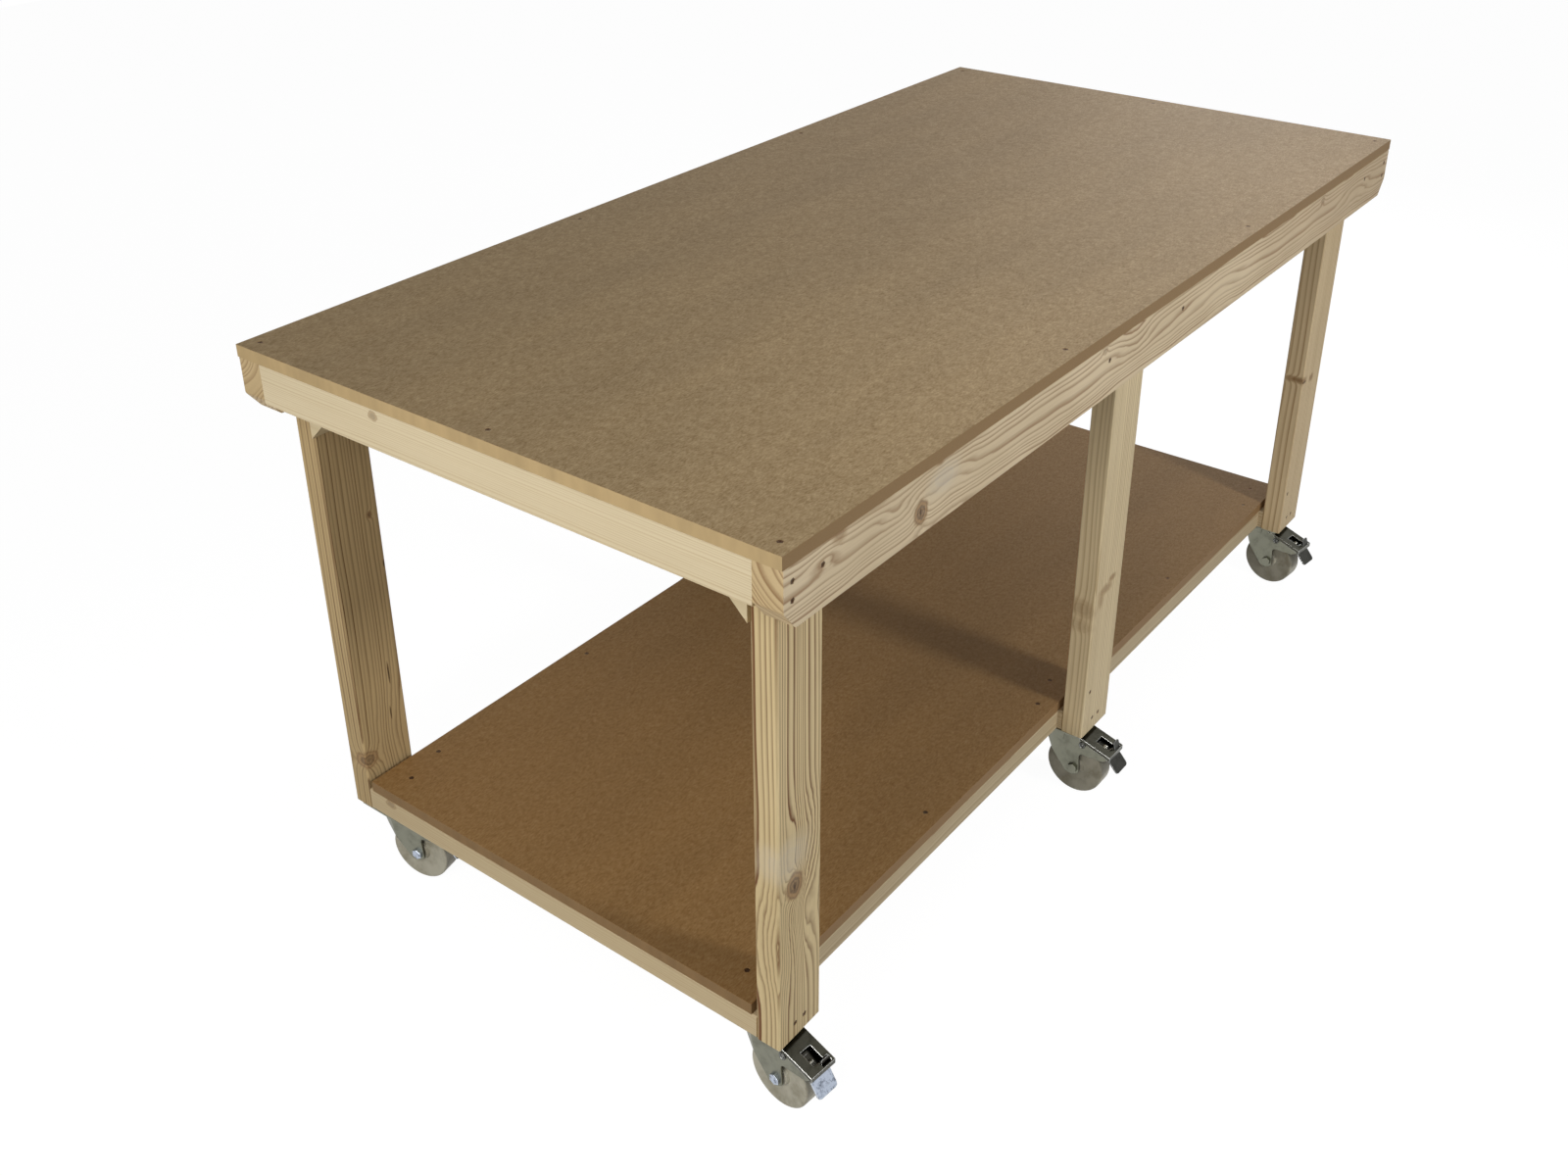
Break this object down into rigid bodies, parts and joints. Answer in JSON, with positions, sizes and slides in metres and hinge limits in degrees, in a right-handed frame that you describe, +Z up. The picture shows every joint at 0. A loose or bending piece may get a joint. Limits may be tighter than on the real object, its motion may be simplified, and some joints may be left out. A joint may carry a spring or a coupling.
{
  "type": "assembly table",
  "caption": "Rolling assembly table: flat board top on a timber apron frame, upright legs joined by a low full-length shelf, and braked swivel casters under the legs.",
  "frame": {"origin": "on the floor under the middle of the table", "axes": "+X along the long side, -Y towards the front long side, +Z up"},
  "size_m": [1.83, 0.9517, 0.905],
  "materials": {
    "fibreboard": "raw fibreboard, fine mottled fibre, sawn edges",
    "pine": "planed pale softwood with brown grain lines and small knots",
    "screw_zinc": "zinc-plated screws",
    "zinc_steel": "dull zinc-plated pressed steel",
    "bright_zinc": "bright zinc-plated pressed steel",
    "nylon": "moulded grey-beige nylon"
  },
  "bodies": {
    "table": {"tabletop": "fibreboard", "shelf_board": "fibreboard", "long_apron_front": "pine", "leg_front_left": "pine", "leg_front_middle": "pine", "leg_front_right": "pine", "shelf_rails_front": "pine", "long_apron_rear": "pine", "leg_rear_left": "pine", "leg_rear_middle": "pine", "leg_rear_right": "pine", "shelf_rails_rear": "pine", "gussets": "pine", "end_apron_left": "pine", "end_apron_right": "pine", "bearers": "pine", "cross_rail_left": "pine", "cross_rail_middle": "pine", "cross_rail_right": "pine", "screws_board": "screw_zinc", "screws_frame": "screw_zinc", "coach_screws": "screw_zinc", "plate_front_left": "zinc_steel", "plate_front_middle": "zinc_steel", "plate_front_right": "zinc_steel", "plate_rear_left": "zinc_steel", "plate_rear_middle": "zinc_steel", "plate_rear_right": "zinc_steel"},
    "fork_front_left": {"fork_front_left": "zinc_steel", "axle_front_left": "bright_zinc", "cover_front_left": "zinc_steel"},
    "wheel_front_left": {"wheel_front_left": "nylon"},
    "pedal_front_left": {"pedal_front_left": "bright_zinc"},
    "fork_front_middle": {"fork_front_middle": "zinc_steel", "axle_front_middle": "bright_zinc", "cover_front_middle": "zinc_steel"},
    "wheel_front_middle": {"wheel_front_middle": "nylon"},
    "pedal_front_middle": {"pedal_front_middle": "bright_zinc"},
    "fork_front_right": {"fork_front_right": "zinc_steel", "axle_front_right": "bright_zinc", "cover_front_right": "zinc_steel"},
    "wheel_front_right": {"wheel_front_right": "nylon"},
    "pedal_front_right": {"pedal_front_right": "bright_zinc"},
    "fork_rear_left": {"fork_rear_left": "zinc_steel", "axle_rear_left": "bright_zinc", "cover_rear_left": "zinc_steel"},
    "wheel_rear_left": {"wheel_rear_left": "nylon"},
    "pedal_rear_left": {"pedal_rear_left": "bright_zinc"},
    "fork_rear_middle": {"fork_rear_middle": "zinc_steel", "axle_rear_middle": "bright_zinc", "cover_rear_middle": "zinc_steel"},
    "wheel_rear_middle": {"wheel_rear_middle": "nylon"},
    "pedal_rear_middle": {"pedal_rear_middle": "bright_zinc"},
    "fork_rear_right": {"fork_rear_right": "zinc_steel", "axle_rear_right": "bright_zinc", "cover_rear_right": "zinc_steel"},
    "wheel_rear_right": {"wheel_rear_right": "nylon"},
    "pedal_rear_right": {"pedal_rear_right": "bright_zinc"}
  },
  "joints": [
    {"name": "swivel_front_left", "type": "hinge", "parent": "table", "child": "fork_front_left", "pos_m": [-0.827, -0.3585, 0.1182], "axis": [0, 0, 1], "continuous": true},
    {"name": "roll_front_left", "type": "hinge", "parent": "fork_front_left", "child": "wheel_front_left", "pos_m": [-0.83071, -0.39632, 0.05], "axis": [0.9952, -0.0976, 0], "continuous": true},
    {"name": "brake_front_left", "type": "hinge", "parent": "fork_front_left", "child": "pedal_front_left", "pos_m": [-0.83203, -0.40975, 0.102], "axis": [0.9952, -0.0976, 0], "range_deg": [-7, 0]},
    {"name": "swivel_front_middle", "type": "hinge", "parent": "table", "child": "fork_front_middle", "pos_m": [-0.0165, -0.3585, 0.1182], "axis": [0, 0, 1], "continuous": true},
    {"name": "roll_front_middle", "type": "hinge", "parent": "fork_front_middle", "child": "wheel_front_middle", "pos_m": [-0.0165, -0.3965, 0.05], "axis": [1, 0, 0], "continuous": true},
    {"name": "brake_front_middle", "type": "hinge", "parent": "fork_front_middle", "child": "pedal_front_middle", "pos_m": [-0.0165, -0.41, 0.102], "axis": [1, 0, 0], "range_deg": [0, 7]},
    {"name": "swivel_front_right", "type": "hinge", "parent": "table", "child": "fork_front_right", "pos_m": [0.8165, -0.3585, 0.1182], "axis": [0, 0, 1], "continuous": true},
    {"name": "roll_front_right", "type": "hinge", "parent": "fork_front_right", "child": "wheel_front_right", "pos_m": [0.812, -0.39623, 0.05], "axis": [0.993, -0.1184, 0], "continuous": true},
    {"name": "brake_front_right", "type": "hinge", "parent": "fork_front_right", "child": "pedal_front_right", "pos_m": [0.8104, -0.40964, 0.102], "axis": [0.993, -0.1184, 0], "range_deg": [0, 7]},
    {"name": "swivel_rear_left", "type": "hinge", "parent": "table", "child": "fork_rear_left", "pos_m": [-0.8295, 0.3585, 0.1182], "axis": [0, 0, 1], "continuous": true},
    {"name": "roll_rear_left", "type": "hinge", "parent": "fork_rear_left", "child": "wheel_rear_left", "pos_m": [-0.82205, 0.32124, 0.05], "axis": [0.9806, 0.1959, 0], "continuous": true},
    {"name": "brake_rear_left", "type": "hinge", "parent": "fork_rear_left", "child": "pedal_rear_left", "pos_m": [-0.81941, 0.308, 0.102], "axis": [0.9806, 0.1959, 0], "range_deg": [-7, 0]},
    {"name": "swivel_rear_middle", "type": "hinge", "parent": "table", "child": "fork_rear_middle", "pos_m": [-0.0165, 0.3585, 0.1182], "axis": [0, 0, 1], "continuous": true},
    {"name": "roll_rear_middle", "type": "hinge", "parent": "fork_rear_middle", "child": "wheel_rear_middle", "pos_m": [-0.0165, 0.3965, 0.05], "axis": [-1, 0, 0], "continuous": true},
    {"name": "brake_rear_middle", "type": "hinge", "parent": "fork_rear_middle", "child": "pedal_rear_middle", "pos_m": [-0.0165, 0.41, 0.102], "axis": [-1, 0, 0], "range_deg": [0, 7]},
    {"name": "swivel_rear_right", "type": "hinge", "parent": "table", "child": "fork_rear_right", "pos_m": [0.8165, 0.3585, 0.1182], "axis": [0, 0, 1], "continuous": true},
    {"name": "roll_rear_right", "type": "hinge", "parent": "fork_rear_right", "child": "wheel_rear_right", "pos_m": [0.81385, 0.39641, 0.05], "axis": [-0.9976, -0.0698, 0], "continuous": true},
    {"name": "brake_rear_right", "type": "hinge", "parent": "fork_rear_right", "child": "pedal_rear_right", "pos_m": [0.81291, 0.40987, 0.102], "axis": [-0.9976, -0.0698, 0], "range_deg": [0, 7]}
  ]
}
